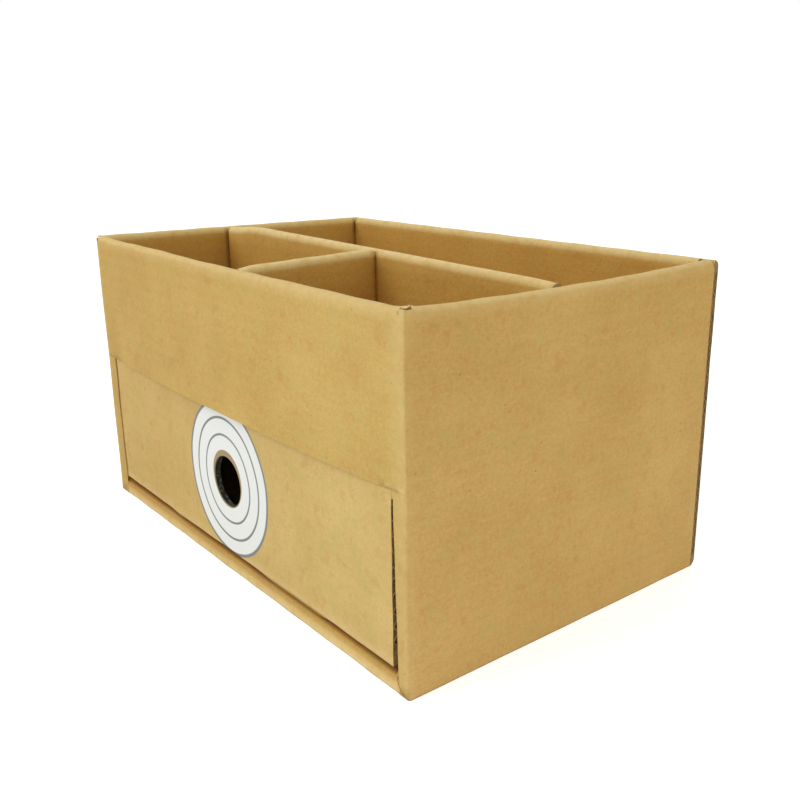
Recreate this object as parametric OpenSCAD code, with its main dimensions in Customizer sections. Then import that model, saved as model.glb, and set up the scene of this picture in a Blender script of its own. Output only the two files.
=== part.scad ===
// Desk storage box folded from corrugated board: three open compartments above one drawer.
// Millimetres, +Z up, origin on the floor under the middle of the box, front towards -Y.

/* [Box] */
// Outside width of the box
box_w = 284.4; // [220:0.2:380]
// Outside depth of the box, without the bow of the front
box_d = 178; // [150:1:260]
// Height of the top of the rolled rims
box_h = 150.6; // [130:0.2:220]

/* [Board] */
// Thickness of the corrugated board
board = 3; // [2:0.5:4]
// Outer radius of a folded edge
fold_r = 3.5; // [3.25:0.25:4.5]
// Outer radius of a tightly creased edge, under the sill and under the drawer's front
crease_r = 0.8; // [0.4:0.1:1.8]
// Air between the two plies of a rolled wall
roll_gap = 0.6; // [0.2:0.1:1.5]
// Width of a die-cut slit
slit = 0.6; // [0.3:0.1:1.2]
// Air between sheets that fit into one another
fit_gap = 0.3; // [0.1:0.1:0.8]
// Length of a glue flap or tab
flap_len = 22; // [12:1:40]
// Distance between the crests of the fluted middle ply
flute_pitch = 6.3; // [4:0.1:9]
// Thickness of each flat outer ply
liner = 0.4; // [0.2:0.05:0.7]
// Thickness of the fluted middle ply
medium = 0.3; // [0.2:0.05:0.6]
// Depth to which bare edges show open flutes
flute_depth = 2; // [1:0.5:4]

/* [Front] */
// Height of the lower edge of the upper front panel
panel_z = 83; // [70:1:95]
// How far the free lower edge of the upper panel bows out
panel_bow = 4.6; // [1:0.1:8]
// Width of the left post beside the drawer
post_left = 13.2; // [10:0.1:20]
// Width of the right post at its top
post_right = 8.5; // [8:0.1:20]
// How much narrower the right post is at its foot
post_taper = 2; // [0:0.1:3]
// Radius of the right post's rounded foot
post_foot_r = 6.2; // [4:0.1:6.4]
// Height of the lowest point of that foot
post_foot_z = 0.8; // [0.4:0.1:2]
// Height of the stretch at the right post's top that closes the gap to the drawer
post_ear_h = 3.6; // [1:0.1:8]
// Distance of the seam's ends from the box's sides
seam_inset = 6.3; // [5:0.1:7]
// Height of the folded double floor that the drawer runs on
base_h = 9.6; // [9:0.1:14]
// How far a corner fold's top stays below the rims
corner_drop = 1.3; // [0.8:0.1:3]

/* [Dividers] */
// Middle of the long divider, behind the front
long_y = 81.3; // [60:0.1:110]
// How much higher the long divider stands at its left end
long_lift = 4; // [0:0.1:5]
// How far the long divider's right end stays below the rims
long_drop = 1.2; // [0:0.1:5]
// Clearance at each end of the long divider
long_end_gap = 1.2; // [1:0.1:3]
// Length missing from the long divider's roll at its right end
roll_relief = 4; // [1:0.5:8]
// Middle of the short divider, from the left side
short_x = 156.7; // [110:0.1:190]
// How far the short divider's top stays below the rims
short_drop = 0.8; // [0:0.1:5]
// Width of a divider's tab
tab_w = 28; // [15:1:40]

/* [Drawer] */
// Clearance on each side of the drawer
drawer_side_gap = 1.2; // [0.6:0.1:3]
// Clearance under the drawer's floor
drawer_floor_gap = 0.4; // [0.3:0.1:1]
// Clearance above the drawer's front
drawer_top_gap = 0.8; // [0.4:0.1:3]
// Clearance between the drawer's back and the box's glue flaps
drawer_back_gap = 5; // [1:0.5:40]
// How much lower the drawer's sides are than its front
drawer_side_drop = 4; // [1:0.5:30]
// Diameter of the finger hole
finger_d = 25; // [16:0.5:32]
// Middle of the finger hole, from the box's left side
finger_x = 144.4; // [100:0.1:180]
// Middle of the finger hole above the table
finger_z = 47.7; // [35:0.1:55]

/* [Hidden] */
$fn = 48;

// How far a cutting body reaches past the face that it opens
over = 1;

kraft_outer = [0.76, 0.61, 0.38];
kraft_inner = [0.68, 0.53, 0.31];
kraft_rolled = [0.82, 0.69, 0.45];
kraft_drawer = [0.80, 0.68, 0.44];

// A rolled wall: two plies and the half round that joins them at the top
roll_w = 2 * board + roll_gap;
roll_r = roll_w / 2;
roll_z = box_h - roll_r;
corner_z = box_h - corner_drop;

// Levels of the construction
shelf_top = panel_z + board;
inner_front = board + roll_gap;
back_in = box_d - board;
flap_y = back_in - board;

// The part stands centred on its origin, bow included
front_y = (panel_bow - box_d) / 2;

// The drawer, measured from the box's left front foot
drawer_x0 = post_left + drawer_side_gap;
drawer_x1 = box_w - post_right - drawer_side_gap;
drawer_z0 = base_h + drawer_floor_gap;
drawer_z1 = panel_z - drawer_top_gap;
drawer_y1 = flap_y - drawer_back_gap;
drawer_side_z = drawer_z1 - drawer_side_drop;

// The dividers
long_front = long_y - roll_r;
long_x0 = roll_w + long_end_gap;
long_x1 = box_w - long_x0;
long_len = long_x1 - long_x0;
long_tilt = asin(long_lift / long_len);
long_h = box_h - long_drop - shelf_top;
// Places of the long divider's two tabs along its length
long_tabs = [long_len / 4 - tab_w / 2, 3 * long_len / 4 - tab_w / 2];
short_y0 = roll_w + fit_gap;
short_y1 = long_front - fit_gap;
short_h = box_h - short_drop - shelf_top;

// Grid of the bowed panel
bow_cols = 28;
bow_rows = 8;
bow_x0 = fold_r;
bow_x1 = box_w - fold_r;

// Section shapes, drawn as seen along the fold

// Quarter of a folded edge round the point (0, 0), bulging towards -X and -Y
module fold_quarter(r) {
    intersection() {
        difference() {
            circle(r);
            circle(r - board);
        }
        translate([-r, -r]) square(r);
    }
}

// Corner of a tightly creased edge with its inner corner at (0, 0), pointing to -X and -Y
module crease_corner() {
    side = board - crease_r;
    translate([-side, -side]) circle(crease_r);
    translate([-side, -board]) square([side, board]);
    translate([-board, -side]) square([board, side]);
}

// Two plies hanging from a rolled top at height 0, outer face at x = 0
module rolled_section(outer_drop, inner_drop) {
    translate([0, -outer_drop]) square([board, outer_drop - roll_r]);
    translate([board + roll_gap, -inner_drop]) square([board, inner_drop - roll_r]);
    rolled_top();
}

// The half round of a rolled top alone, or only the outer part of it up to a given width
module rolled_top(width = roll_w) {
    translate([roll_r, -roll_r]) intersection() {
        difference() {
            circle(roll_r);
            circle(roll_gap / 2);
        }
        translate([-roll_r, 0]) square([width, roll_r]);
    }
}

// Open flutes of a bare edge: wedges that point to one face and the other by turns,
// drawn with the board's thickness to the right and the edge's length up
module flute_wedges(length) {
    count = floor(length / flute_pitch);
    first = (length - (count - 0.5) * flute_pitch) / 2;
    wide = flute_pitch / 2 - 2 * medium;
    tip = medium;
    for (k = [0 : count - 1], side = [0, 1])
        translate([side * board, first + (k + side / 2) * flute_pitch]) mirror([side, 0]) polygon([
            [liner, -wide], [board - liner - medium, -tip], [board - liner - medium, tip], [liner, wide]
        ]);
}

// Extrudes a section drawn in X and Z along +Y
module along_y(y0, length) {
    translate([0, y0 + length, 0]) rotate([90, 0, 0]) linear_extrude(length) children();
}

// Extrudes a section drawn with Y to the right and Z up along +X
module along_x(x0, length) {
    translate([x0, 0, 0]) rotate([90, 0, 90]) linear_extrude(length) children();
}

// Mirrors what is drawn for the box's left side to its right side
module at_right() {
    translate([box_w, 0, 0]) mirror([1, 0, 0]) children();
}

// Upper front panel

// How far the panel stands out at a place on the front: nothing at its top and
// at its ends, most in the middle of its free lower edge
function bow_share(x) = pow(max(0, sin(180 * (x - bow_x0) / (bow_x1 - bow_x0))), 0.8);
function bow_fall(z) = pow((roll_z - z) / (roll_z - panel_z), 1.4);
function bow_out(x, z) = panel_bow * bow_share(x) * bow_fall(z);

function bow_at(i) = bow_x0 + (bow_x1 - bow_x0) * i / bow_cols;
function bow_level(j) = panel_z + (roll_z - panel_z) * j / bow_rows;

bow_points = [
    for (face = [0, 1], j = [0 : bow_rows], i = [0 : bow_cols])
        [bow_at(i), face * board - bow_out(bow_at(i), bow_level(j)), bow_level(j)]
];

// Number of the point in column i and row j of the front (0) or rear (1) face
function bow_id(face, j, i) = (face * (bow_rows + 1) + j) * (bow_cols + 1) + i;

// Two triangles for the four corners of a cell
function split(a, b, c, d) = [[a, b, c], [a, c, d]];

bow_front = [
    for (j = [0 : bow_rows - 1], i = [0 : bow_cols - 1])
        each split(bow_id(0, j, i), bow_id(0, j + 1, i), bow_id(0, j + 1, i + 1), bow_id(0, j, i + 1))
];
bow_rear = [
    for (j = [0 : bow_rows - 1], i = [0 : bow_cols - 1])
        each split(bow_id(1, j, i), bow_id(1, j, i + 1), bow_id(1, j + 1, i + 1), bow_id(1, j + 1, i))
];
bow_lower = [
    for (i = [0 : bow_cols - 1])
        each split(bow_id(0, 0, i), bow_id(0, 0, i + 1), bow_id(1, 0, i + 1), bow_id(1, 0, i))
];
bow_upper = [
    for (i = [0 : bow_cols - 1])
        each split(
            bow_id(1, bow_rows, i), bow_id(1, bow_rows, i + 1),
            bow_id(0, bow_rows, i + 1), bow_id(0, bow_rows, i)
        )
];
bow_left = [
    for (j = [0 : bow_rows - 1])
        each split(bow_id(1, j + 1, 0), bow_id(0, j + 1, 0), bow_id(0, j, 0), bow_id(1, j, 0))
];
bow_right = [
    for (j = [0 : bow_rows - 1])
        each split(
            bow_id(0, j + 1, bow_cols), bow_id(1, j + 1, bow_cols),
            bow_id(1, j, bow_cols), bow_id(0, j, bow_cols)
        )
];

module bowed_panel() {
    polyhedron(bow_points, concat(bow_front, bow_rear, bow_lower, bow_upper, bow_left, bow_right));
}

// Outer sheet: both sides, the upper front, the posts and the walls that guide the drawer

// Outline of the left post as seen from the front, grown by room; the seam's cut ends in it
module left_outline(room) {
    square([post_left + room, panel_z - slit]);
    square([seam_inset, panel_z]);
}

// Outline of the right post with its outer edge at x = 0, grown by room: it narrows
// towards a rounded foot and widens at its top, where it closes the gap beside the drawer
module right_outline(room) {
    foot = post_right - post_taper;
    ear = post_right + drawer_side_gap - fit_gap;
    ear_z = panel_z - post_ear_h;
    arc_z = post_foot_z + post_foot_r;
    polygon([
        [0, arc_z], [foot + room, arc_z], [post_right + room, ear_z],
        [ear + room, ear_z], [ear + room, panel_z - slit], [0, panel_z - slit]
    ]);
    intersection() {
        translate([foot - post_foot_r, arc_z]) circle(post_foot_r + room);
        square([foot + room, arc_z]);
    }
    square([seam_inset, panel_z]);
}

// Corner fold and face of a post, cut to an outline
module post_face(width) {
    intersection() {
        union() {
            translate([fold_r, 0, 0]) cube([width - fold_r, board, panel_z]);
            translate([fold_r, fold_r, 0]) linear_extrude(panel_z) fold_quarter(fold_r);
        }
        along_y(-over, fold_r + over) children();
    }
}

// Wall behind a post that guides the drawer and carries the shelf, glued to the post's rear
module guide_wall(width) {
    start = board / 2;
    translate([width - board, start, base_h]) cube([board, flap_y - slit - start, panel_z - base_h]);
}

module side_wall() {
    // Outer ply, rolled top and inner ply down to the shelf
    translate([0, fold_r, 0]) cube([board, back_in - fold_r, roll_z]);
    along_y(fold_r, back_in - 2 * fit_gap - fold_r)
        translate([0, box_h]) rolled_section(roll_w, box_h - shelf_top);
    // Corner fold beside the upper panel
    translate([fold_r, fold_r, panel_z]) linear_extrude(corner_z - panel_z) fold_quarter(fold_r);
    // Glue flap inside the back wall, below the shelf
    translate([0, flap_y, base_h + slit]) cube([flap_len, board, panel_z - base_h - 2 * slit]);
}

// Roll of the front: whole between the rolls of the sides, and beyond them only its outer part,
// which ends in a thin lip above each corner fold
module front_roll() {
    between_rolls() rolled_top();
    difference() {
        along_x(slit, box_w - 2 * slit) translate([0, box_h]) rolled_top(roll_r);
        for (x = [0, box_w - fold_r - fit_gap])
            translate([x, -over, 0]) cube([fold_r + fit_gap, roll_r + 2 * over, corner_z + slit]);
    }
}

// Extrudes a rolled section over the width between the rolls of the sides
module between_rolls() {
    x0 = roll_w + slit;
    along_x(x0, box_w - 2 * x0) translate([0, box_h]) children();
}

module wrap() {
    color(kraft_outer) translate([-box_w / 2, front_y, 0]) {
        side_wall();
        at_right() side_wall();
        post_face(post_left) left_outline(0);
        guide_wall(post_left);
        at_right() {
            post_face(post_right + drawer_side_gap) right_outline(0);
            guide_wall(post_right);
        }
        bowed_panel();
        front_roll();
        between_rolls() translate([inner_front, shelf_top - box_h]) square([board, roll_z - shelf_top]);
    }
}

// Inner sheet: sill, double floor and back wall

module base() {
    inset = board + fit_gap;
    color(kraft_inner) translate([-box_w / 2, front_y, 0]) {
        difference() {
            along_x(inset, box_w - 2 * inset) floor_section();
            along_y(-over, inset + over) left_outline(fit_gap);
            at_right() along_y(-over, inset + over) right_outline(fit_gap);
        }
        // Back wall over the full width, with the fold under it and its bare side edges
        difference() {
            along_x(0, box_w) translate([box_d, 0]) mirror([1, 0]) back_section();
            for (right = [0, 1])
                translate([right * box_w, 0, 0]) mirror([right, 0, 0])
                    along_x(-over, flute_depth + over)
                        translate([back_in, fold_r]) flute_wedges(roll_z - fold_r);
        }
        // Rolled top of the back and its inner ply, between the rolls of the sides
        between_rolls() translate([box_d, 0]) mirror([1, 0]) rolled_section(roll_w, box_h - shelf_top);
    }
}

// Section through the back wall's outer ply, as far as it shows from the side
module back_section() {
    translate([0, fold_r]) square([board, roll_z - fold_r]);
    translate([0, box_h]) rolled_top(board);
    intersection() {
        translate([fold_r, fold_r]) fold_quarter(fold_r);
        square([board, fold_r]);
    }
}

// Section through floor, sill, inner floor and the fold up into the back wall
module floor_section() {
    translate([board, 0]) square([box_d - fold_r - board, board]);
    translate([board, board]) crease_corner();
    translate([0, board]) square([board, base_h - fold_r - board]);
    translate([fold_r, base_h - fold_r]) mirror([0, 1]) fold_quarter(fold_r);
    translate([fold_r, base_h - board]) square([flap_y - fit_gap - fold_r, board]);
    translate([box_d - fold_r, fold_r]) mirror([1, 0]) fold_quarter(fold_r);
}

// Shelf that carries the three compartments

module shelf() {
    inset = board + fit_gap;
    color(kraft_inner) translate([-box_w / 2, front_y, 0]) difference() {
        translate([inset, inset, panel_z])
            cube([box_w - 2 * inset, back_in - fit_gap - inset, board]);
        for (x = long_tabs)
            slot(long_x0 + x, long_y + roll_gap / 2, tab_w, board);
        slot(short_x + roll_gap / 2, (short_y0 + short_y1 - tab_w) / 2, board, tab_w);
    }
}

// Slot in the shelf for a tab of the given size
module slot(x, y, across, depth) {
    translate([x - fit_gap, y - fit_gap, panel_z - over])
        cube([across + 2 * fit_gap, depth + 2 * fit_gap, board + 2 * over]);
}

// Dividers: folded double walls with tabs under their rear ply

module long_divider() {
    color(kraft_rolled) translate([-box_w / 2, front_y, 0])
        translate([long_x1, long_front, shelf_top]) rotate([0, long_tilt, 0])
            translate([-long_len, 0, 0]) {
                difference() {
                    along_x(0, long_len) translate([0, long_h]) rolled_section(long_h, long_h);
                    // The roll stops short of the right end
                    translate([long_len - roll_relief, -over, long_h - roll_r])
                        cube([roll_relief + over, roll_w + 2 * over, roll_r + over]);
                }
                for (x = long_tabs)
                    translate([x, board + roll_gap, -board]) cube([tab_w, board, 2 * board]);
            }
}

module short_divider() {
    color(kraft_rolled) translate([-box_w / 2, front_y, 0])
        translate([short_x - roll_r, short_y0, shelf_top]) {
            along_y(0, short_y1 - short_y0)
                translate([0, short_h]) rolled_section(short_h, short_h);
            translate([board + roll_gap, (short_y1 - short_y0 - tab_w) / 2, -board])
                cube([board, tab_w, 2 * board]);
        }
}

// Drawer: a tray folded from one sheet, its corners held by glued tabs

module drawer() {
    width = drawer_x1 - drawer_x0;
    color(kraft_drawer) translate([-box_w / 2, front_y, 0]) difference() {
        union() {
            // Front, floor and back as one folded strip; the front is the full width
            along_x(drawer_x0, width) drawer_front_section();
            along_x(drawer_x0 + board, width - 2 * board) drawer_rear_section();
            drawer_side();
            translate([drawer_x0 + drawer_x1, 0, 0]) mirror([1, 0, 0]) drawer_side();
        }
        // Finger hole through the front
        translate([finger_x, -over, finger_z]) rotate([-90, 0, 0])
            cylinder(d = finger_d, h = board + 2 * over);
        // Open flutes at both bare ends of the front
        for (right = [0, 1])
            translate([drawer_x0 + right * width, 0, drawer_z0 + board]) mirror([right, 0, 0])
                along_x(-over, flute_depth + over) flute_wedges(drawer_z1 - drawer_z0 - board);
    }
}

// Front with the crease under it
module drawer_front_section() {
    translate([0, drawer_z0 + board]) square([board, drawer_z1 - drawer_z0 - board]);
    translate([board, drawer_z0 + board]) crease_corner();
}

// Floor and back with the fold between them
module drawer_rear_section() {
    translate([board, drawer_z0]) square([drawer_y1 - fold_r - board, board]);
    translate([drawer_y1 - fold_r, drawer_z0 + fold_r]) mirror([1, 0]) fold_quarter(fold_r);
    translate([drawer_y1 - board, drawer_z0 + fold_r])
        square([board, drawer_side_z - drawer_z0 - fold_r]);
}

// Side folded up from the floor, with a tab glued inside the front and one inside the back
module drawer_side() {
    wall_y0 = board;
    wall_y1 = drawer_y1 - fold_r;
    wall_z0 = drawer_z0 + fold_r;
    wall_h = drawer_side_z - wall_z0;
    along_y(fold_r, wall_y1 - fold_r)
        translate([drawer_x0 + fold_r, wall_z0]) fold_quarter(fold_r);
    translate([drawer_x0, wall_y0, wall_z0]) cube([board, wall_y1 - wall_y0, wall_h]);
    translate([drawer_x0, wall_y0, wall_z0]) cube([flap_len, board, wall_h]);
    translate([drawer_x0 + board, drawer_y1 - 2 * board, wall_z0]) cube([flap_len, board, wall_h]);
}

wrap();
base();
shelf();
long_divider();
short_divider();
drawer();
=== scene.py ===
import math

import bmesh
import bpy
import numpy as np
from mathutils import Matrix, Vector


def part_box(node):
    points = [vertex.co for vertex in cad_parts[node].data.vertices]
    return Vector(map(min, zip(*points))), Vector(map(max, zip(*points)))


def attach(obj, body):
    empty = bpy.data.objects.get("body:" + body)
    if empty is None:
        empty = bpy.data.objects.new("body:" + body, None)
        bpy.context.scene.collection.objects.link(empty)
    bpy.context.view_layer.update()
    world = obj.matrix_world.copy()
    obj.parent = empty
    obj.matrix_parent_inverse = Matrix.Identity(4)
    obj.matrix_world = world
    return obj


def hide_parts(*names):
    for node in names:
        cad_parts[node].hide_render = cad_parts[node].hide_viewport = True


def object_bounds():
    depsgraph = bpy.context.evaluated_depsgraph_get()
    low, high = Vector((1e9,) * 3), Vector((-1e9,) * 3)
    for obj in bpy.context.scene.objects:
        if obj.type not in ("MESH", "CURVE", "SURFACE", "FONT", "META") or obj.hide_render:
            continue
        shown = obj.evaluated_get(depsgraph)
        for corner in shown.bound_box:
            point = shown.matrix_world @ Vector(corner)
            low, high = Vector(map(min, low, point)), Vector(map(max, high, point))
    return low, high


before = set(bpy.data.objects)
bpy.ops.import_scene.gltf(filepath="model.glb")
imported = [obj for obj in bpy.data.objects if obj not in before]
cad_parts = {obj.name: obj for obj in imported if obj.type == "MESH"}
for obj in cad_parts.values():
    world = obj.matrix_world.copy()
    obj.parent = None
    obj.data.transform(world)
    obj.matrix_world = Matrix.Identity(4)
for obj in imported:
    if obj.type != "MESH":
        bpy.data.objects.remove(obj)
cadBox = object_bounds()

mm = 0.001

# places of the box's main lines, from the nodes, in metres
caseLow, caseHigh = (Vector(corner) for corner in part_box("base"))
drawerLow, drawerHigh = (Vector(corner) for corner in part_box("drawer"))
longLow, longHigh = (Vector(corner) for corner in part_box("long_divider"))
shortLow, shortHigh = (Vector(corner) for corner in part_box("short_divider"))
shelfLow = Vector(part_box("shelf")[0])
leftX, rightX = caseLow.x, caseHigh.x
frontY, backY = drawerLow.y, caseHigh.y
seamZ, rimZ = shelfLow.z, caseHigh.z
boardThick = 3 * mm
rollWide = 6.6 * mm  # both plies of a rolled wall and the air between them

# camera and light

view = {
    "place": (0.3800, -0.2688, 0.2064),  # fitted to the seven corners that the photo shows
    "azimuth": 50.383, "elevation": 16.453, "roll": -0.129,  # degrees
    "lens": 41.28, "sensor": 36.0, "shiftX": -0.0489, "shiftY": 0.0016,
    "nearest": 0.01,
}
studio = {
    "sky": 0.80,  # even light from all round, as in a light tent
    "keyPlace": (-0.50, -1.00, 0.80), "keySize": 0.9, "keyPower": 5.4,
    "sidePlace": (1.05, 0.30, 0.05), "sideSize": 0.9, "sidePower": 2.0,
    "aim": (0, 0, 0.06),
    "floorSize": 6.0, "floorTone": 0.86,
    "floorLift": 0.50,  # what a camera ray adds to the floor, to bring it to white
}


def makeCamera():
    data = bpy.data.cameras.new("camera")
    data.lens = view["lens"]
    data.sensor_width = view["sensor"]
    data.shift_x, data.shift_y = view["shiftX"], view["shiftY"]
    data.clip_start = view["nearest"]
    camera = bpy.data.objects.new("camera", data)
    bpy.context.scene.collection.objects.link(camera)
    turn = Matrix.Rotation(math.radians(view["azimuth"]), 4, "Z")
    tip = Matrix.Rotation(math.radians(90 - view["elevation"]), 4, "X")
    roll = Matrix.Rotation(math.radians(view["roll"]), 4, "Z")
    camera.matrix_world = Matrix.Translation(view["place"]) @ turn @ tip @ roll
    bpy.context.scene.camera = camera


def makeLamp(name, place, size, power):
    data = bpy.data.lights.new(name, "AREA")
    data.shape = "SQUARE"
    data.size = size
    data.energy = power
    lamp = bpy.data.objects.new(name, data)
    bpy.context.scene.collection.objects.link(lamp)
    lamp.location = place
    aim = Vector(studio["aim"]) - Vector(place)
    lamp.rotation_euler = aim.to_track_quat("-Z", "Y").to_euler()


def makeSky():
    world = bpy.data.worlds.new("studio")
    bpy.context.scene.world = world
    world.use_nodes = True
    nodes, links = world.node_tree.nodes, world.node_tree.links
    nodes.clear()
    path = nodes.new("ShaderNodeLightPath")
    seen = nodes.new("ShaderNodeBackground")
    seen.inputs["Color"].default_value = (1, 1, 1, 1)
    light = nodes.new("ShaderNodeBackground")
    light.inputs["Color"].default_value = (1, 1, 1, 1)
    light.inputs["Strength"].default_value = studio["sky"]
    pick = nodes.new("ShaderNodeMixShader")
    out = nodes.new("ShaderNodeOutputWorld")
    links.new(path.outputs["Is Camera Ray"], pick.inputs[0])
    links.new(light.outputs[0], pick.inputs[1])
    links.new(seen.outputs[0], pick.inputs[2])
    links.new(pick.outputs[0], out.inputs["Surface"])


def makeFloor():
    half = studio["floorSize"] / 2
    corners = [(-half, -half, 0), (half, -half, 0), (half, half, 0), (-half, half, 0)]
    mesh = bpy.data.meshes.new("floor")
    mesh.from_pydata(corners, [], [(0, 1, 2, 3)])
    floor = bpy.data.objects.new("floor", mesh)
    bpy.context.scene.collection.objects.link(floor)
    material = bpy.data.materials.new("floorWhite")
    material.use_nodes = True
    nodes, links = material.node_tree.nodes, material.node_tree.links
    nodes.clear()
    matt = nodes.new("ShaderNodeBsdfDiffuse")
    matt.inputs["Color"].default_value = (*[studio["floorTone"]] * 3, 1)
    path = nodes.new("ShaderNodeLightPath")
    lift = nodes.new("ShaderNodeMath")
    lift.operation = "MULTIPLY"
    lift.inputs[1].default_value = studio["floorLift"]
    glow = nodes.new("ShaderNodeEmission")
    both = nodes.new("ShaderNodeAddShader")
    out = nodes.new("ShaderNodeOutputMaterial")
    links.new(path.outputs["Is Camera Ray"], lift.inputs[0])
    links.new(lift.outputs[0], glow.inputs["Strength"])
    links.new(matt.outputs[0], both.inputs[0])
    links.new(glow.outputs[0], both.inputs[1])
    links.new(both.outputs[0], out.inputs["Surface"])
    mesh.materials.append(material)


makeCamera()
makeSky()
makeLamp("keyLamp", studio["keyPlace"], studio["keySize"], studio["keyPower"])
makeLamp("sideLamp", studio["sidePlace"], studio["sideSize"], studio["sidePower"])
makeFloor()
print("camera, lamps and floor are set")

# small helpers for node trees


def wire(tree, kind, settings=None, **sources):
    # adds a node, sets its values and links its inputs, whose names have _ for a blank
    node = tree.nodes.new(kind)
    for key, value in (settings or {}).items():
        if hasattr(node, key):
            setattr(node, key, value)
        else:
            node.inputs[key].default_value = value
    for key, source in sources.items():
        tree.links.new(source, node.inputs[key.replace("_", " ")])
    return node


def mathNode(tree, operation, first, second=None, third=None):
    node = tree.nodes.new("ShaderNodeMath")
    node.operation = operation
    for socket, value in zip(node.inputs, (first, second, third)):
        if value is None:
            continue
        if isinstance(value, (int, float)):
            socket.default_value = value
        else:
            tree.links.new(value, socket)
    return node.outputs[0]


def product(tree, first, *others):
    for other in others:
        first = mathNode(tree, "MULTIPLY", first, other)
    return first


def distance(tree, across, above):
    squares = (product(tree, across, across), product(tree, above, above))
    return mathNode(tree, "SQRT", mathNode(tree, "ADD", *squares))


def softStep(tree, value, start, end):
    # 0 below start, 1 above end, smooth between; start above end turns it round
    rising = end > start
    node = wire(tree, "ShaderNodeMapRange", {
        "interpolation_type": "SMOOTHSTEP",
        "From Min": min(start, end), "From Max": max(start, end),
        "To Min": 0.0 if rising else 1.0, "To Max": 1.0 if rising else 0.0}, Value=value)
    return node.outputs[0]


def noise(tree, place, size, detail, roughness=0.5, distortion=0.0):
    # patches of about this size, with values about 0.5
    node = wire(tree, "ShaderNodeTexNoise", {
        "Scale": 1 / size, "Detail": detail, "Roughness": roughness, "Distortion": distortion}, Vector=place)
    return node.outputs[0]


def mixColor(tree, share, under, over):
    # over lies on under where share is 1; a colour is a plain triple or a socket
    node = wire(tree, "ShaderNodeMix", {"data_type": "RGBA", "clamp_factor": True})
    tree.links.new(share, node.inputs["Factor"])
    for socket, color in ((node.inputs[6], under), (node.inputs[7], over)):
        if isinstance(color, tuple):
            socket.default_value = (*color, 1)
        else:
            tree.links.new(color, socket)
    return node.outputs[2]


def newGroup(name, given, made):
    # given holds (name, kind, start value), made holds (name, kind)
    group = bpy.data.node_groups.new(name, "ShaderNodeTree")
    for label, kind, start in given:
        socket = group.interface.new_socket(label, in_out="INPUT", socket_type="NodeSocket" + kind)
        if start is not None:
            socket.default_value = start
    for label, kind in made:
        group.interface.new_socket(label, in_out="OUTPUT", socket_type="NodeSocket" + kind)
    return group, group.nodes.new("NodeGroupInput"), group.nodes.new("NodeGroupOutput")


# kraft paper: pulp clouds, rust-brown and olive blotches, short fibres and specks, on a liner
# through which the flutes of the middle ply show as faint level bumps, and as level bands of painted shade

paper = {
    "flutePitch": 6.3 * mm, "fluteDrift": 2.2,  # crest to crest; bands drift, as flutes never run quite true
    "cloudSize": 26 * mm, "grainSize": 1.5 * mm,
    "fibreLength": 3.2 * mm, "fibreWidth": 0.45 * mm,
    # how far each pattern moves the share of the light colour
    "cloudDepth": 2.6, "grainDepth": 3.2, "fibreDepth": 1.8, "fluteShadeDepth": 0.22,
    "blotchSize": 6.5 * mm, "blotchRough": 0.62, "blotchTwist": 0.15,
    "speckCell": 7.0 * mm, "speckSize": 0.075,  # size as a share of the cell
    "speck": (0.20, 0.12, 0.05),
    # blotches, as (colour, step of the noise, shift of the noise)
    "blotches": (((0.520, 0.250, 0.060), (0.50, 0.74), (0, 0, 0)),
                 ((0.500, 0.430, 0.125), (0.48, 0.72), (0.31, 0.17, 0.23))),
    "roughLeast": 0.62, "roughGain": 0.20, "gloss": 0.22,
    "grainHeight": 0.45, "fibreHeight": 0.35, "bumpStrength": 0.35, "bumpDepth": 0.10 * mm,
    "pale": (0.760, 0.580, 0.270),  # fibres rubbed pale along folds, with a painted highlight along folds and rims
    "foldPatchSize": 4.5 * mm, "foldPatchStep": (0.05, 0.65),
}


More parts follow.
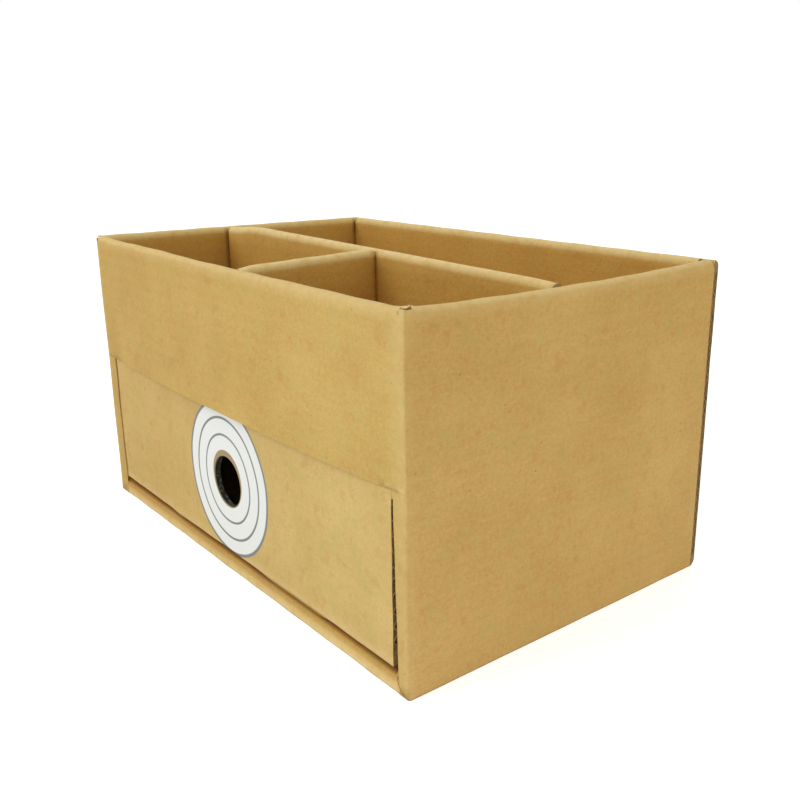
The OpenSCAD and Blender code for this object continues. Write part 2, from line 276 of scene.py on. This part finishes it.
def makePaperGroup():
    group, given, out = newGroup("kraftPaper", (
        ("Vector", "Vector", None), ("Light", "Color", None), ("Dark", "Color", None),
        ("Clouds", "Float", 0.5), ("Blotches", "Float", 0.3), ("Grain", "Float", 0.4),
        ("Washboard", "Float", 0.2), ("Specks", "Float", 0.4),
    ), (("Color", "Color"), ("Roughness", "Float"), ("Height", "Float")))
    place = given.outputs["Vector"]

    clouds = noise(group, place, paper["cloudSize"], 3.0)
    grain = noise(group, place, paper["grainSize"], 4.0, roughness=0.7)
    # fibres lie more level than upright, so the place is squeezed along them before the noise
    level, upright = 1 / paper["fibreLength"], 1 / paper["fibreWidth"]
    squeezed = wire(group, "ShaderNodeMapping", {"Scale": (level, level, upright)}, Vector=place)
    fibres = noise(group, squeezed.outputs[0], 1.0, 3.0, roughness=0.6)
    cells = wire(group, "ShaderNodeTexVoronoi", {"Scale": 1 / paper["speckCell"]}, Vector=place)
    dots = softStep(group, cells.outputs["Distance"], paper["speckSize"], 0.4 * paper["speckSize"])
    split = wire(group, "ShaderNodeSeparateXYZ", None, Vector=place)
    drift = product(group, clouds, paper["fluteDrift"])
    phase = mathNode(group, "MULTIPLY_ADD", split.outputs["Z"], 2 * math.pi / paper["flutePitch"], drift)
    waves = mathNode(group, "SINE", phase)

    # share of the light colour: a half, moved by each of the patterns about its middle
    share = 0.5
    for pattern, weight, depth in ((clouds, "Clouds", paper["cloudDepth"]),
                                   (grain, "Grain", paper["grainDepth"]),
                                   (fibres, "Grain", paper["fibreDepth"])):
        centred = mathNode(group, "SUBTRACT", pattern, 0.5)
        share = mathNode(group, "ADD", product(group, centred, depth, given.outputs[weight]), share)
    # painted shade: level bands along the flutes darken the colour
    bands = product(group, waves, product(group, given.outputs["Washboard"], paper["fluteShadeDepth"]))
    share = mathNode(group, "ADD", share, bands)
    color = mixColor(group, share, given.outputs["Dark"], given.outputs["Light"])
    for stain, step, shift in paper["blotches"]:
        moved = wire(group, "ShaderNodeMapping", {"Location": shift}, Vector=place)
        patches = noise(group, moved.outputs[0], paper["blotchSize"], 3.0,
                        paper["blotchRough"], paper["blotchTwist"])
        share = product(group, softStep(group, patches, *step), given.outputs["Blotches"])
        color = mixColor(group, share, color, stain)
    color = mixColor(group, product(group, dots, given.outputs["Specks"]), color, paper["speck"])
    group.links.new(color, out.inputs["Color"])

    rough = mathNode(group, "MULTIPLY_ADD", grain, paper["roughGain"], paper["roughLeast"])
    group.links.new(rough, out.inputs["Roughness"])
    height = mathNode(group, "MULTIPLY_ADD", grain, paper["grainHeight"],
                      product(group, fibres, paper["fibreHeight"]))
    height = mathNode(group, "ADD", height, product(group, waves, given.outputs["Washboard"]))
    group.links.new(height, out.inputs["Height"])
    return group


def makeFoldWearAndHighlightGroup():
    # pale, patchy fibres where a sheet is folded, partly rubbed paper and partly a painted highlight on folds
    # and rolled rims; the share of a fold comes from the mesh
    group, given, out = newGroup("foldWearAndHighlight", (
        ("Vector", "Vector", None), ("Color", "Color", None),
        ("Fold", "Float", 0.0), ("Strength", "Float", 0.4),
    ), (("Color", "Color"),))
    patches = noise(group, given.outputs["Vector"], paper["foldPatchSize"], 4.0)
    share = product(group, given.outputs["Fold"], softStep(group, patches, *paper["foldPatchStep"]),
                    given.outputs["Strength"])
    group.links.new(mixColor(group, share, given.outputs["Color"], paper["pale"]), out.inputs["Color"])
    return group


# painted light and shade over whole places: each tints the paper within a box that has soft borders


def region(low, high, soft):
    # for X, Y and Z in object coordinates: (low, high, border)
    return tuple(zip(low, high, soft))


def frontArea(spanX, spanZ, softX, softZ, deep=1 * mm, softY=1 * mm):
    return region((spanX[0], -wide, spanZ[0]), (spanX[1], frontY + deep, spanZ[1]), (softX, softY, softZ))


wide = 1.0  # far outside the box
sillLeft, sillRight = drawerLow.x - 2 * mm, drawerHigh.x + 1 * mm
sideLow = rightX - 1.2 * mm
drawerZ = drawerLow.z
paintedLightTones = [
    # painted light: the right side is tinted redder than the front and painted darker towards the top, and a
    # painted highlight makes the front palest at its right
    ((1.06, 1.00, 1.07), region((sideLow, -wide, -wide), (wide, wide, wide), (1 * mm, 1 * mm, 1 * mm))),
    ((0.89, 0.87, 0.77), region((sideLow, -wide, 0), (wide, wide, wide), (1 * mm, 1 * mm, 150 * mm))),
    ((0.88, 0.84, 0.78), frontArea((-wide, rightX), (-wide, wide), 250 * mm, 1 * mm)),
    # painted shade along the slot at the left, on the paper beside it
    ((0.60, 0.47, 0.33), frontArea(
        (drawerLow.x - 3 * mm, drawerLow.x + 1.4 * mm), (drawerZ, seamZ), 2 * mm, 0.5 * mm)),
    # shade under the drawer's front: a soft one over the sill, a deep one along the drawer
    ((0.88, 0.78, 0.62), frontArea(
        (sillLeft, sillRight), (drawerZ - 6 * mm, drawerZ + 1 * mm), 0.6 * mm, 4 * mm, 4 * mm, 2 * mm)),
    ((0.42, 0.27, 0.09), frontArea(
        (sillLeft, sillRight), (drawerZ - 3.6 * mm, drawerZ + 1.2 * mm), 0.6 * mm, 1.8 * mm, 4 * mm, 2 * mm)),
    # painted light makes the sill's face pale, and a painted shadow greys every lower edge a little
    ((1.16, 1.20, 1.34), frontArea(
        (sillLeft, sillRight + 2 * mm), (-wide, drawerZ - 3.5 * mm), 2 * mm, 3 * mm)),
    ((0.76, 0.76, 0.80), region((-wide, -wide, -wide), (wide, wide, 1.1 * mm), (1 * mm, 1 * mm, 0.9 * mm))),
    # a painted highlight on the crease where the seam runs out at the right
    ((1.13, 1.15, 1.20), frontArea(
        (rightX - 13 * mm, rightX - 1 * mm), (seamZ + 0.2 * mm, seamZ + 2.4 * mm), 2 * mm, 0.9 * mm)),
]
# upright corners inside the compartments, as (x, y): painted shade darkens the paper there a little
shadyCorners = {
    "tone": (0.74, 0.63, 0.50), "reach": 2.6 * mm,
    "places": ((leftX + rollWide, longLow.y), (shortHigh.x, longLow.y), (leftX + rollWide, backY - rollWide)),
}
for cornerX, cornerY in shadyCorners["places"]:
    reach = shadyCorners["reach"]
    paintedLightTones.append((shadyCorners["tone"], region(
        (cornerX - reach, cornerY - reach, seamZ), (cornerX + reach, cornerY + reach, wide),
        (reach, reach, 1 * mm))))
inside = {
    "tone": (0.90, 0.765, 0.53),  # painted shade: the paper in the compartments is made deeper in colour
    "room": region((leftX + boardThick, frontY + boardThick, seamZ),
                   (rightX - boardThick, backY - boardThick, wide), (0.4 * mm, 0.4 * mm, 1 * mm)),
    "below": (2.6 * mm, 4.2 * mm),  # it begins this far below the rim
}
footGapShade = {
    # painted shade: a dark line along a quarter of an ellipse, where the sill's end tucks under the right post
    "middle": (rightX - 1.7 * mm, 7.5 * mm), "radii": (6.0 * mm, 6.5 * mm), "width": 0.045,
    "tone": (0.35, 0.25, 0.14),
}


def tint(tree, share, color, tone):
    # multiplies the colour by the tone where the share is 1
    blend = wire(tree, "ShaderNodeMix", {"data_type": "RGBA", "blend_type": "MULTIPLY"})
    tree.links.new(share, blend.inputs["Factor"])
    tree.links.new(color, blend.inputs[6])
    blend.inputs[7].default_value = (*tone, 1)
    return blend.outputs[2]


def boxShare(tree, split, sides):
    share = 1.0
    for label, (low, high, soft) in zip("XYZ", sides):
        for start, end in ((low, low + soft), (high, high - soft)):
            if abs(start) < wide:
                share = mathNode(tree, "MULTIPLY", softStep(tree, split.outputs[label], start, end), share)
    return share


def makePaintedLightGroup():
    group, given, out = newGroup("paintedLightAndShade", (
        ("Vector", "Vector", None), ("Color", "Color", None), ("Crest", "Float", rimZ)), (("Color", "Color"),))
    split = wire(group, "ShaderNodeSeparateXYZ", None, Vector=given.outputs["Vector"])
    color = given.outputs["Color"]
    for tone, sides in paintedLightTones:
        color = tint(group, boxShare(group, split, sides), color, tone)
    depth = mathNode(group, "SUBTRACT", given.outputs["Crest"], split.outputs["Z"])
    share = product(group, softStep(group, depth, *inside["below"]), boxShare(group, split, inside["room"]))
    color = tint(group, share, color, inside["tone"])
    middleX, middleZ = footGapShade["middle"]
    across = mathNode(group, "SUBTRACT", split.outputs["X"], middleX)
    above = mathNode(group, "SUBTRACT", split.outputs["Z"], middleZ)
    across = mathNode(group, "DIVIDE", across, footGapShade["radii"][0])
    above = mathNode(group, "DIVIDE", above, footGapShade["radii"][1])
    off = mathNode(group, "ABSOLUTE", mathNode(group, "SUBTRACT", distance(group, across, above), 1.0))
    quarter = boxShare(group, split, frontArea((-wide, middleX), (-wide, middleZ), 1 * mm, 1 * mm))
    share = product(group, softStep(group, off, footGapShade["width"], 0.3 * footGapShade["width"]), quarter)
    color = tint(group, share, color, footGapShade["tone"])
    group.links.new(color, out.inputs["Color"])
    return group


paperGroup = makePaperGroup()
foldWearAndHighlightGroup = makeFoldWearAndHighlightGroup()
paintedLightGroup = makePaintedLightGroup()


def makeKraft(name, light, dark, shift, washboard=0.2, clouds=0.5, blotches=0.36, grain=0.60, specks=0.45,
              wearAndHighlight=0.75):
    material = bpy.data.materials.new(name)
    material.use_nodes = True
    tree = material.node_tree
    shader = tree.nodes["Principled BSDF"]
    shader.inputs["Specular IOR Level"].default_value = paper["gloss"]
    where = tree.nodes.new("ShaderNodeTexCoord")
    moved = wire(tree, "ShaderNodeMapping", {"Location": shift}, Vector=where.outputs["Object"])
    liner = wire(tree, "ShaderNodeGroup", {
        "node_tree": paperGroup, "Light": (*light, 1), "Dark": (*dark, 1), "Clouds": clouds,
        "Blotches": blotches, "Grain": grain, "Washboard": washboard, "Specks": specks},
        Vector=moved.outputs[0])
    fold = wire(tree, "ShaderNodeAttribute", {"attribute_name": "fold"})
    crest = wire(tree, "ShaderNodeAttribute", {"attribute_name": "crest"})
    wornAndHighlit = wire(tree, "ShaderNodeGroup", {"node_tree": foldWearAndHighlightGroup, "Strength": wearAndHighlight},
                Vector=moved.outputs[0], Color=liner.outputs["Color"], Fold=fold.outputs["Fac"])
    # the painted light and shade of whole places go on over the paper
    withPaintedLight = wire(tree, "ShaderNodeGroup", {"node_tree": paintedLightGroup},
                 Vector=where.outputs["Object"], Color=wornAndHighlit.outputs["Color"], Crest=crest.outputs["Fac"])
    bump = wire(tree, "ShaderNodeBump", {"Strength": paper["bumpStrength"], "Distance": paper["bumpDepth"]},
                Height=liner.outputs["Height"])
    tree.links.new(withPaintedLight.outputs["Color"], shader.inputs["Base Color"])
    tree.links.new(liner.outputs["Roughness"], shader.inputs["Roughness"])
    tree.links.new(bump.outputs[0], shader.inputs["Normal"])
    return material


kraftOuter = makeKraft("kraftOuter", (0.650, 0.450, 0.140), (0.540, 0.345, 0.092), (0, 0, 0), wearAndHighlight=0.6)
kraftInner = makeKraft("kraftInner", (0.650, 0.445, 0.138), (0.530, 0.335, 0.088), (0.11, 0.07, 0.03),
                       grain=0.75, wearAndHighlight=0.9)
kraftRolled = makeKraft("kraftRolled", (0.655, 0.450, 0.138), (0.530, 0.340, 0.086), (0.05, 0.19, 0.02),
                        grain=0.75, wearAndHighlight=1.0)
kraftDrawer = makeKraft("kraftDrawer", (0.705, 0.510, 0.196), (0.605, 0.418, 0.140), (0.0, 0.03, 0.08))
kraftBare = makeKraft("kraftBare", (0.360, 0.250, 0.098), (0.240, 0.162, 0.062), (0, 0, 0),
                      washboard=0.0, blotches=0.0, grain=0.9, wearAndHighlight=0.0)

# print on the drawer: a white disc with grey rings round the finger hole

rings = {
    "middleX": leftX + 144.4 * mm, "middleZ": 47.9 * mm,
    "bareRadius": 14.2 * mm, "discRadius": 38.2 * mm,
    "lines": ((21.7 * mm, 0.55 * mm), (30.0 * mm, 0.6 * mm), (37.6 * mm, 0.75 * mm)),  # radius, half width
    "soft": 0.22 * mm,
    "white": (0.830, 0.855, 0.835), "grey": (0.155, 0.170, 0.165),
    "bare": (0.330, 0.250, 0.160),  # the sheet's face between the hole and the disc
    "whiteCover": 0.96, "greyCover": 0.88, "bareCover": 0.8,
    "printDepth": 0.8 * mm,  # only the front face carries print, not the wall of the hole
    # the cut wall of the hole is coloured nearly black, with a few lighter frayed fibres
    "wallDark": (0.030, 0.034, 0.026), "wallLight": (0.190, 0.180, 0.145),
    "wallFrom": 0.45 * mm, "wallTo": 4 * mm, "wallSoft": 0.4 * mm,
    "fraySize": 1.8 * mm, "frayStep": (0.46, 0.70),
}


def printRings(material):
    tree = material.node_tree
    shader = tree.nodes["Principled BSDF"]
    kraft = shader.inputs["Base Color"].links[0].from_socket
    where = wire(tree, "ShaderNodeTexCoord")
    split = wire(tree, "ShaderNodeSeparateXYZ", None, Vector=where.outputs["Object"])
    far = distance(tree, mathNode(tree, "SUBTRACT", split.outputs["X"], rings["middleX"]),
                   mathNode(tree, "SUBTRACT", split.outputs["Z"], rings["middleZ"]))
    face = mathNode(tree, "LESS_THAN", split.outputs["Y"], frontY + rings["printDepth"])
    soft, inner, outer = rings["soft"], rings["bareRadius"], rings["discRadius"]
    disc = product(tree, softStep(tree, far, inner - soft, inner + soft),
                   softStep(tree, far, outer + soft, outer - soft))
    ink = 0.0
    for radius, half in rings["lines"]:
        off = mathNode(tree, "ABSOLUTE", mathNode(tree, "SUBTRACT", far, radius))
        ink = mathNode(tree, "MAXIMUM", softStep(tree, off, half + soft, half - soft), ink)
    rim = softStep(tree, far, inner + soft, inner - soft)
    color = mixColor(tree, product(tree, disc, face, rings["whiteCover"]), kraft, rings["white"])
    color = mixColor(tree, product(tree, ink, face, rings["greyCover"]), color, rings["grey"])
    color = mixColor(tree, product(tree, rim, face, rings["bareCover"]), color, rings["bare"])
    frays = noise(tree, where.outputs["Object"], rings["fraySize"], 3.0)
    cut = mixColor(tree, softStep(tree, frays, *rings["frayStep"]), rings["wallDark"], rings["wallLight"])
    inWall = product(tree, softStep(tree, far, inner + rings["wallSoft"], inner),
                     mathNode(tree, "GREATER_THAN", split.outputs["Y"], frontY + rings["wallFrom"]),
                     mathNode(tree, "LESS_THAN", split.outputs["Y"], frontY + rings["wallTo"]))
    tree.links.new(mixColor(tree, inWall, color, cut), shader.inputs["Base Color"])


printRings(kraftDrawer)
print("materials are made")

# sheets: each is its node's form with merged points, cut into small cells so that it can be bent a little and
# carry its fold marks, with its bare board edges found and marked

sheet = {
    "merge": 2e-6, "flat": 0.4,  # metres between points that become one, degrees between faces that do
    "cell": 6 * mm,  # spacing of the cuts
    # a flat face no wider than the board, with sharp long sides, is a bare edge
    "bareWidth": 3.35 * mm, "bareAngle": 40,
    "sharp": 36,  # degrees: a fold shades smooth, a cut edge stays crisp
    "rippleSizes": (0.16, 0.07, 0.031), "ripple": 0.3 * mm,
    "foldFade": 1.35,
}
# the fluted ends of a sheet: how far they reach in, and how much of that is filled
flute = {"reach": 2.05 * mm, "fill": 0.65}


def markBareEdges(mesh, ends):
    # a strip's width is about twice its area over its outline; all long sides of a bare edge are sharp
    # the ends are boxes in which every face is bare
    for face in mesh.faces:
        outline = sum(edge.calc_length() for edge in face.edges)
        narrow = 2 * face.calc_area() / outline < sheet["bareWidth"]
        longest = max(edge.calc_length() for edge in face.edges)
        sharp = all(edge.calc_face_angle(0) > math.radians(sheet["bareAngle"])
                    for edge in face.edges if edge.calc_length() > 0.6 * longest)
        middle = face.calc_center_median()
        # a corner's cut top is covered with fibres of the liner
        lip = abs(face.normal.z) > 0.9 and middle.z > rimZ - 2 * mm and middle.y < frontY + boardThick
        atEnd = any(all(low[axis] < middle[axis] < high[axis] for axis in range(3)) for low, high in ends)
        face.material_index = 1 if (narrow and sharp and not lip) or atEnd else 0


def cutCells(mesh, low, high):
    for axis in range(3):
        count = int((high[axis] - low[axis]) / sheet["cell"])
        for step in range(1, count + 1):
            place = Vector((0, 0, 0))
            place[axis] = low[axis] + (high[axis] - low[axis]) * step / (count + 1)
            normal = Vector((0, 0, 0))
            normal[axis] = 1
            bmesh.ops.bisect_plane(mesh, geom=mesh.verts[:] + mesh.edges[:] + mesh.faces[:],
                                   plane_co=place, plane_no=normal, dist=1e-6)


def foldShare(points, folds):
    # folds are lines along one axis: (axis, (place, place), half width, strength where it isn't 1)
    share = np.zeros(len(points))
    for axis, place, reach, *strength in folds:
        others = [other for other in range(3) if other != axis]
        far = np.hypot(points[:, others[0]] - place[0], points[:, others[1]] - place[1])
        near = np.clip(sheet["foldFade"] - far / reach, 0, 1)
        share = np.maximum(share, near * (strength[0] if strength else 1))
    return share


def makeSheet(name, node, body, liner, bend, folds=(), ends=()):
    # bend takes the points as an (n, 3) array in metres, and gives them back moved, with the rim's height
    work = bmesh.new()
    work.from_mesh(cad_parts[node].data)
    bmesh.ops.remove_doubles(work, verts=work.verts, dist=sheet["merge"])
    bmesh.ops.dissolve_limit(work, angle_limit=math.radians(sheet["flat"]),
                             verts=work.verts[:], edges=work.edges[:])
    markBareEdges(work, ends)
    cutCells(work, *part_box(node))
    mesh = bpy.data.meshes.new(name)
    work.to_mesh(mesh)
    work.free()
    points = np.empty(len(mesh.vertices) * 3)
    mesh.vertices.foreach_get("co", points)
    points = points.reshape(-1, 3)
    moved, crest = bend(points)
    crest = crest + np.zeros(len(points))
    # the sheet never leaves the box's own bounds
    mesh.vertices.foreach_set("co", np.clip(moved, cadBox[0], cadBox[1]).ravel())
    mesh.attributes.new("crest", "FLOAT", "POINT").data.foreach_set("value", crest)
    mesh.attributes.new("fold", "FLOAT", "POINT").data.foreach_set("value", foldShare(points, folds))
    mesh.polygons.foreach_set("use_smooth", np.ones(len(mesh.polygons), dtype=bool))
    mesh.set_sharp_from_angle(angle=math.radians(sheet["sharp"]))
    mesh.materials.append(liner)
    mesh.materials.append(kraftBare)
    piece = bpy.data.objects.new(name, mesh)
    bpy.context.scene.collection.objects.link(piece)
    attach(piece, body)
    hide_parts(node)
    print(name, "has", len(mesh.polygons), "faces")


# helpers for bends


def slope(values, start, end):
    # 0 at start, 1 at end and beyond, smooth between
    share = np.clip((values - start) / (end - start), 0, 1)
    return share * share * (3 - 2 * share)


def hump(values, low, start, end, high):
    # 0 up to low, 1 from start to end, 0 from high on, with smooth flanks
    rise = np.clip((values - low) / (start - low), 0, 1)
    fall = np.clip((high - values) / (high - end), 0, 1)
    share = np.minimum(rise, fall)
    return share * share * (3 - 2 * share)


def ripple(points):
    # products of slow waves along X, Y and Z move each point, both faces of a sheet alike
    moved = points.copy()
    for axis in range(3):
        total = 0
        for number, size in enumerate(sheet["rippleSizes"]):
            turn = 1.7 * axis + 2.3 * number
            waveX = np.sin(2 * math.pi * points[:, 0] / size + turn)
            waveY = np.sin(2 * math.pi * points[:, 1] / (0.8 * size) + 1.3 * turn)
            waveZ = np.sin(2 * math.pi * points[:, 2] / (0.9 * size) + 0.7 * turn)
            total = total + waveX * waveY * waveZ
        moved[:, axis] += sheet["ripple"] * total / len(sheet["rippleSizes"])
    return moved


def sag(values, start, line):
    # straight lines between points given as (distance, depth) in millimetres
    along, depth = np.array(line).T * mm
    return np.interp(values - start, along, depth)


def fluteEnds(left, right, spanY, spanZ):
    # boxes round the two ends of a sheet that runs from left to right
    spans = ((left - mm, left + flute["reach"]), (right - flute["reach"], right + mm))
    return tuple(((low, spanY[0], spanZ[0]), (high, spanY[1], spanZ[1])) for low, high in spans)


def fillFlutes(moved, points, left, right, within):
    # fluted ends are nearly closed: the hollows reach in only a little
    for side, end in ((-1, left), (1, right)):
        deep = (end - points[:, 0]) * side
        near = (deep > 0) & (deep < flute["reach"]) & within
        moved[:, 0] += side * flute["fill"] * deep * near


# outer sheet: left side, upper front panel and right side, with rolled rims

wrap = {
    "corner": 3.5 * mm, "cornerPower": 8,  # the fold at the right front is nearly sharp
    "sagGrows": (45 * mm, 5 * mm),  # below the rim
    "nearWall": (9 * mm, 7 * mm),  # behind the outer face of the wall that sags
    # how far the front and right rims sag, by distance from the left and from the front
    "frontSag": ((4, 0.0), (14, 1.0), (82, 1.2), (117, 1.8), (270, 1.7), (277, 1.6), (280.5, 0.0)),
    "rightSag": ((4, 0.0), (8, 1.4), (17, 1.8), (60, 2.2), (110, 2.0),
                 (135, 1.5), (148, 1.0), (163, 0.5), (174, 0.0)),
    "slit": (10.5 * mm, 6 * mm), "slitDepth": 4 * mm, "slitUnder": 0.6 * mm, "slitShut": 0.5 * mm,
    "folds": (
        (2, (leftX + 1 * mm, frontY + 1 * mm), 4 * mm), (2, (rightX - 3.5 * mm, frontY), 4.5 * mm, 0.5),
        (1, (leftX + rollWide / 2, rimZ - 1 * mm), 4 * mm), (1, (rightX - rollWide / 2, rimZ - 1 * mm), 4 * mm),
        (0, (frontY + rollWide / 2, rimZ - 1 * mm), 4 * mm),
    ),
}


def sharpen(points, moved):
    # squeezes the rounded upright fold towards its corner: a circle becomes a superellipse
    reach, power = wrap["corner"], wrap["cornerPower"]
    across = (points[:, 0] - (rightX - reach)) / reach
    along = (frontY + reach - points[:, 1]) / reach
    near = (across > 0) & (along > 0) & (across < 1.01) & (along < 1.01)
    circle = np.hypot(across, along)
    square = np.where(near, across ** power + along ** power, 1.0) ** (1 / power)
    grow = np.where(near, circle / np.maximum(square, 1e-6) - 1, 0)
    moved[:, 0] += grow * across * reach
    moved[:, 1] -= grow * along * reach


def bendWrap(points):
    moved = ripple(points)
    x, y, z = points.T
    sharpen(points, moved)
    # rims sag between the corners, where thin lips of board stand up
    upper = slope(z, *(rimZ - depth for depth in wrap["sagGrows"]))
    onFront = slope(y, *(frontY + depth for depth in wrap["nearWall"]))
    onRight = slope(x, *(rightX - depth for depth in wrap["nearWall"]))
    deep = np.maximum(sag(x, leftX, wrap["frontSag"]) * onFront, sag(y, frontY, wrap["rightSag"]) * onRight)
    moved[:, 2] -= deep * upper
    # the slit above the right post is pressed shut
    start, end = wrap["slit"]
    onEar = (x > rightX - start) & (x < rightX - end) & (y < frontY + wrap["slitDepth"])
    onEar &= abs(z - seamZ + wrap["slitUnder"]) < 0.1 * mm
    moved[:, 2] += wrap["slitShut"] * onEar
    return moved, rimZ - deep


makeSheet("wrapSheet", "wrap", "case", kraftOuter, bendWrap, wrap["folds"])

# inner sheet: back wall, floor, sill and inner floor

base = {
    "backDeep": 3.2 * mm,  # the back wall's outer ply, with its fluted ends
    "crease": 0.8 * mm, "creaseShare": 0.8,  # the sill's lower crease is nearly sharp
    # the sill's rolled top lies lower than the floor behind it
    "rollDrop": 1.0 * mm, "rollZ": (4 * mm, 8 * mm), "rollTop": 12 * mm,
    "rollY": (5 * mm, 3.4 * mm), "rollX": (13 * mm, 18 * mm),
    # the sill's left end runs up against the post
    "endReach": 0.25 * mm, "endX": (13 * mm, 13.3 * mm, 13.7 * mm, 14 * mm), "endY": (4 * mm, 3 * mm),
    "folds": (
        (0, (backY - rollWide / 2, rimZ - 1 * mm), 4 * mm), (0, (frontY, 0.5 * mm), 2 * mm),
        (0, (backY - 1 * mm, 1 * mm), 4 * mm),
    ),
}
baseEnds = fluteEnds(leftX, rightX, (backY - base["backDeep"], backY + 1 * mm), (-1 * mm, rimZ + 1 * mm))


def bendBase(points):
    moved = ripple(points)
    x, y, z = points.T
    fillFlutes(moved, points, -rightX, rightX, y > backY - base["backDeep"])
    crease = (y < frontY + base["crease"]) & (z < base["crease"])
    moved[:, 1] -= base["creaseShare"] * (y - frontY) * crease
    moved[:, 2] -= base["creaseShare"] * z * crease
    low = (slope(z, *base["rollZ"]) * slope(y, *(frontY + depth for depth in base["rollY"]))
           * slope(x, *(leftX + along for along in base["rollX"])))
    moved[:, 2] -= base["rollDrop"] * low * (z < base["rollTop"])
    atPost = (hump(x, *(leftX + along for along in base["endX"]))
              * slope(y, *(frontY + depth for depth in base["endY"])))
    moved[:, 0] -= base["endReach"] * atPost
    return moved, rimZ


def bendShelf(points):
    return points, rimZ


makeSheet("baseSheet", "base", "case", kraftInner, bendBase, base["folds"], baseEnds)
makeSheet("shelfSheet", "shelf", "case", kraftInner, bendShelf)

# dividers: their tops are bent, and their feet stay where the shelf holds them

dividerGrows = (seamZ + 30 * mm, rimZ - 6 * mm)
longDivider = {
    "dip": 2.6 * mm, "dipX": (36 * mm, 2 * mm),  # the top dips to the rim at its left end
    # the roll ends close to the right wall
    "endX": (120 * mm, 131 * mm), "endZ": (7 * mm, 5 * mm), "endReach": 3.2 * mm, "endDrop": 0.5 * mm,
    "crestFall": 3.9 * mm,
    "folds": ((0, ((longLow.y + longHigh.y) / 2, rimZ + 1 * mm), 5 * mm),),
}
shortDivider = {
    # the top rises from the front rim to the long divider, and its roll is fuller there
    "frontRise": -0.5 * mm, "moreRise": 2.1 * mm,
    # the roll's front end lies against the front wall and below its rim
    "endZ": (9 * mm, 5 * mm), "endY": (8 * mm, 0), "endReach": 0.8 * mm, "endDrop": 0.9 * mm,
    "folds": ((1, ((shortLow.x + shortHigh.x) / 2, rimZ - 1 * mm), 4 * mm),),
}


def bendLong(points):
    moved = ripple(points)
    x, y, z = points.T
    dip = longDivider["dip"] * slope(x, *(longLow.x + along for along in longDivider["dipX"]))
    moved[:, 2] -= slope(z, *dividerGrows) * dip
    atEnd = slope(x, *longDivider["endX"]) * slope(z, *(rimZ - depth for depth in longDivider["endZ"]))
    moved[:, 0] += longDivider["endReach"] * atEnd
    moved[:, 2] -= longDivider["endDrop"] * atEnd
    return moved, longHigh.z - dip - longDivider["crestFall"] * (x - longLow.x) / (longHigh.x - longLow.x)


def bendShort(points):
    moved = ripple(points)
    x, y, z = points.T
    along = (y - shortLow.y) / (shortHigh.y - shortLow.y)
    rise = shortDivider["frontRise"] + shortDivider["moreRise"] * along
    moved[:, 2] += slope(z, *dividerGrows) * rise
    atEnd = (slope(z, *(rimZ - depth for depth in shortDivider["endZ"]))
             * slope(y, *(shortLow.y + behind for behind in shortDivider["endY"])))
    moved[:, 1] -= shortDivider["endReach"] * atEnd
    moved[:, 2] -= shortDivider["endDrop"] * atEnd
    return moved, shortHigh.z + rise


makeSheet("longDividerSheet", "long_divider", "case", kraftRolled, bendLong,
          longDivider["folds"])
makeSheet("shortDividerSheet", "short_divider", "case", kraftRolled, bendShort,
          shortDivider["folds"])

# drawer: a tray whose front has the finger hole and the print

drawer = {
    "endDeep": 3.05 * mm, "frontY": (5 * mm, 3 * mm),
    # the front's top edge all but touches the panel, and its right edge the post's ear
    "topReach": 0.65 * mm, "topZ": 8 * mm,
    "rightReach": 0.25 * mm, "rightX": 4 * mm, "earZ": (78.5 * mm, 79.6 * mm),
    # the slot at the left is narrow below and opens towards the top
    "leftReach": 0.6 * mm, "leftX": 5 * mm, "leftZ": (8 * mm, 40 * mm),
    # the finger hole is cut a little low and wide
    "holeInside": 0.6 * mm, "holeDeep": 4 * mm, "holeDrop": 1.05 * mm, "holeWiden": 0.05,
    # the lower edge is dented and hangs a little in front of the sill, by distance from the left
    "lowerZ": (9 * mm, 1 * mm), "lowerY": (2.6 * mm, 0.6 * mm),
    "lowerSag": ((16, -0.8), (60, -0.6), (76, -0.2), (83, 1.1), (92, 0.3), (131, -0.3), (171, 0.2), (186, 1.4),
                 (222, 1.4), (229, 0.2), (266, 0.2)),
    "folds": ((0, (frontY + 1 * mm, drawerLow.z + 1 * mm), 3 * mm),),
}
drawerEnds = fluteEnds(drawerLow.x, drawerHigh.x, (frontY - 1 * mm, frontY + 3.1 * mm),
                       (drawerLow.z + 1 * mm, drawerHigh.z + 1 * mm))


def bendDrawer(points):
    moved = ripple(points)
    x, y, z = points.T
    fillFlutes(moved, points, drawerLow.x, drawerHigh.x, y < frontY + drawer["endDeep"])
    onFront = slope(y, *(frontY + depth for depth in drawer["frontY"]))
    moved[:, 2] += drawer["topReach"] * slope(z, drawerHigh.z - drawer["topZ"], drawerHigh.z) * onFront
    atEar = slope(z, *drawer["earZ"]) * slope(x, drawerHigh.x - drawer["rightX"], drawerHigh.x)
    moved[:, 0] += drawer["rightReach"] * onFront * atEar
    narrow = drawer["leftReach"] * slope(z, *(seamZ - depth for depth in drawer["leftZ"]))
    moved[:, 0] -= narrow * onFront * slope(x, drawerLow.x + drawer["leftX"], drawerLow.x)
    far = np.hypot(x - rings["middleX"], z - rings["middleZ"])
    atHole = (far < rings["bareRadius"] - drawer["holeInside"]) & (y < frontY + drawer["holeDeep"])
    moved[:, 2] -= drawer["holeDrop"] * atHole
    moved[:, 0] += drawer["holeWiden"] * (x - rings["middleX"]) * atHole
    lower = (slope(z, *(drawerLow.z + above for above in drawer["lowerZ"]))
             * slope(y, *(frontY + depth for depth in drawer["lowerY"])))
    moved[:, 2] -= sag(x, leftX, drawer["lowerSag"]) * lower
    return moved, rimZ


makeSheet("drawerSheet", "drawer", "tray", kraftDrawer, bendDrawer, drawer["folds"], drawerEnds)

bpy.context.scene.view_settings.view_transform = "Standard"
